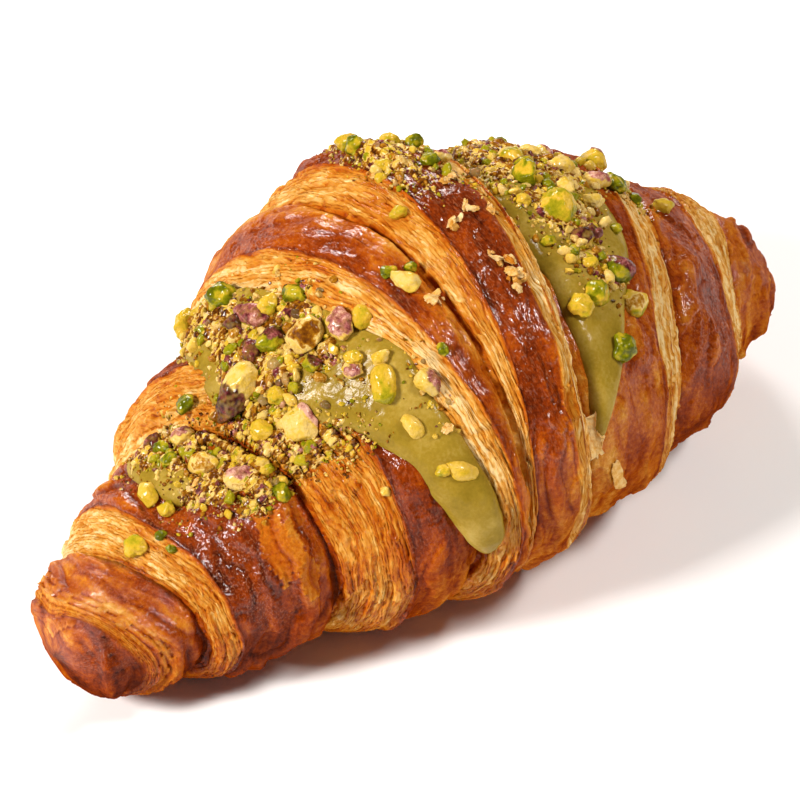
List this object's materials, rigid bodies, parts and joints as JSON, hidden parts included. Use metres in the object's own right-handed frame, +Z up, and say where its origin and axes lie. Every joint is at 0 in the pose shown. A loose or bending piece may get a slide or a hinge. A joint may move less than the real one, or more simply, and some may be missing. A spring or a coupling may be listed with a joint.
{
  "type": "pistachio croissant",
  "caption": "Large filled croissant of rolled laminated dough, topped with bands of pistachio cream and chopped pistachios; rests on its flat underside.",
  "frame": {"origin": "on the surface the croissant rests on, under the middle of its bounding box", "axes": "+X from the blunt pinched tip on the left to the tip on the right, along the longest extent; -Y towards the front side, to which both tips curve slightly; +Z up"},
  "size_m": [0.178, 0.0972, 0.0801],
  "materials": {
    "crust": "satin",
    "cream": "gloss",
    "nut": "matte"
  },
  "bodies": {
    "root": {"pastry": "crust", "cream_left": "cream", "cream_right": "cream", "cream_patch": "cream", "pistachio_01": "nut", "pistachio_02": "nut", "pistachio_03": "nut", "pistachio_04": "nut", "pistachio_05": "nut", "pistachio_06": "nut", "pistachio_07": "nut", "pistachio_08": "nut", "pistachio_09": "nut", "pistachio_10": "nut", "pistachio_11": "nut", "pistachio_12": "nut", "pistachio_13": "nut", "pistachio_14": "nut", "pistachio_15": "nut", "pistachio_16": "nut", "pistachio_17": "nut", "pistachio_18": "nut", "pistachio_19": "nut", "pistachio_20": "nut"}
  },
  "joints": []
}
